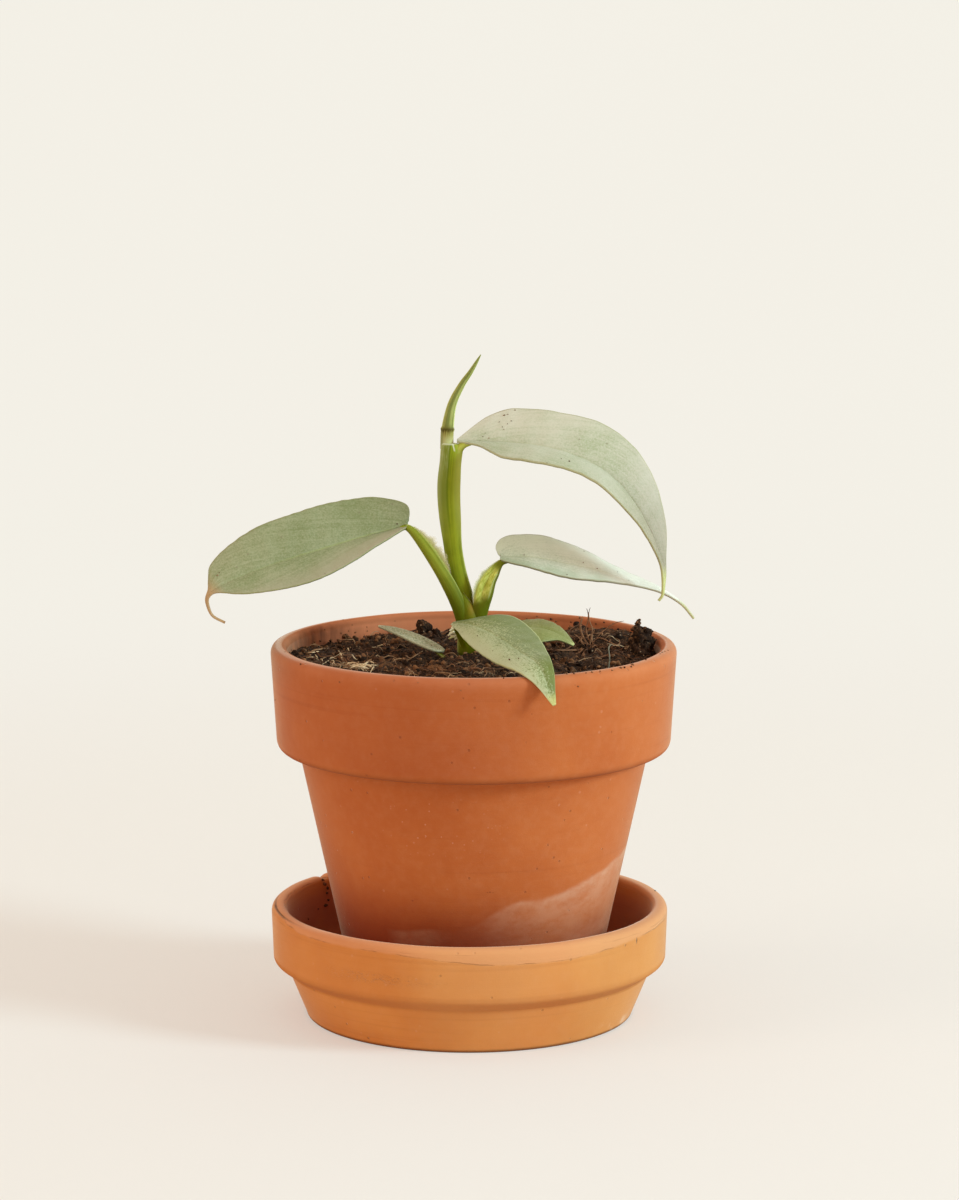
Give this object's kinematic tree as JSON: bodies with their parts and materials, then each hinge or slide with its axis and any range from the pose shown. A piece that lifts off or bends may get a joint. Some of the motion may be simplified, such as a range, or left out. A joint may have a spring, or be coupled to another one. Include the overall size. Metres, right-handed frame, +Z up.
{
  "type": "potted philodendron hastatum",
  "caption": "Young aroid plant with drooping lance-shaped leaves, rising from soil in a tapered terracotta pot with a thick rim, standing on a deep terracotta saucer.",
  "frame": {"origin": "centre of the saucer's underside, on the surface that it stands on", "axes": "+Z up, -Y towards the front, over which the low leaf hangs, +X to the right seen from the front"},
  "size_m": [0.1432, 0.1222, 0.196],
  "materials": {
    "saucer_clay": "unglazed fired clay, yellow-orange, slightly chalky",
    "pot_clay": "unglazed fired clay, orange-brown, damp and darker near the foot",
    "soil": "crumbly damp potting soil with fibres",
    "stem": "smooth green plant stem, slightly waxy",
    "leaf_pale": "silvery pale leaf, satin",
    "leaf_green": "grey-green leaf, satin"
  },
  "bodies": {
    "root": {"saucer": "saucer_clay", "pot": "pot_clay", "soil": "soil", "stem_crown": "stem", "petiole_central": "stem", "petiole_left": "stem", "petiole_right": "stem", "petiole_front": "stem", "petiole_small_right": "stem", "petiole_small_left": "stem", "new_leaf": "stem", "leaf_top": "leaf_pale", "leaf_right": "leaf_pale", "leaf_small_left": "leaf_pale", "leaf_left": "leaf_green", "leaf_front": "leaf_green", "leaf_small_right": "leaf_green"}
  },
  "joints": []
}
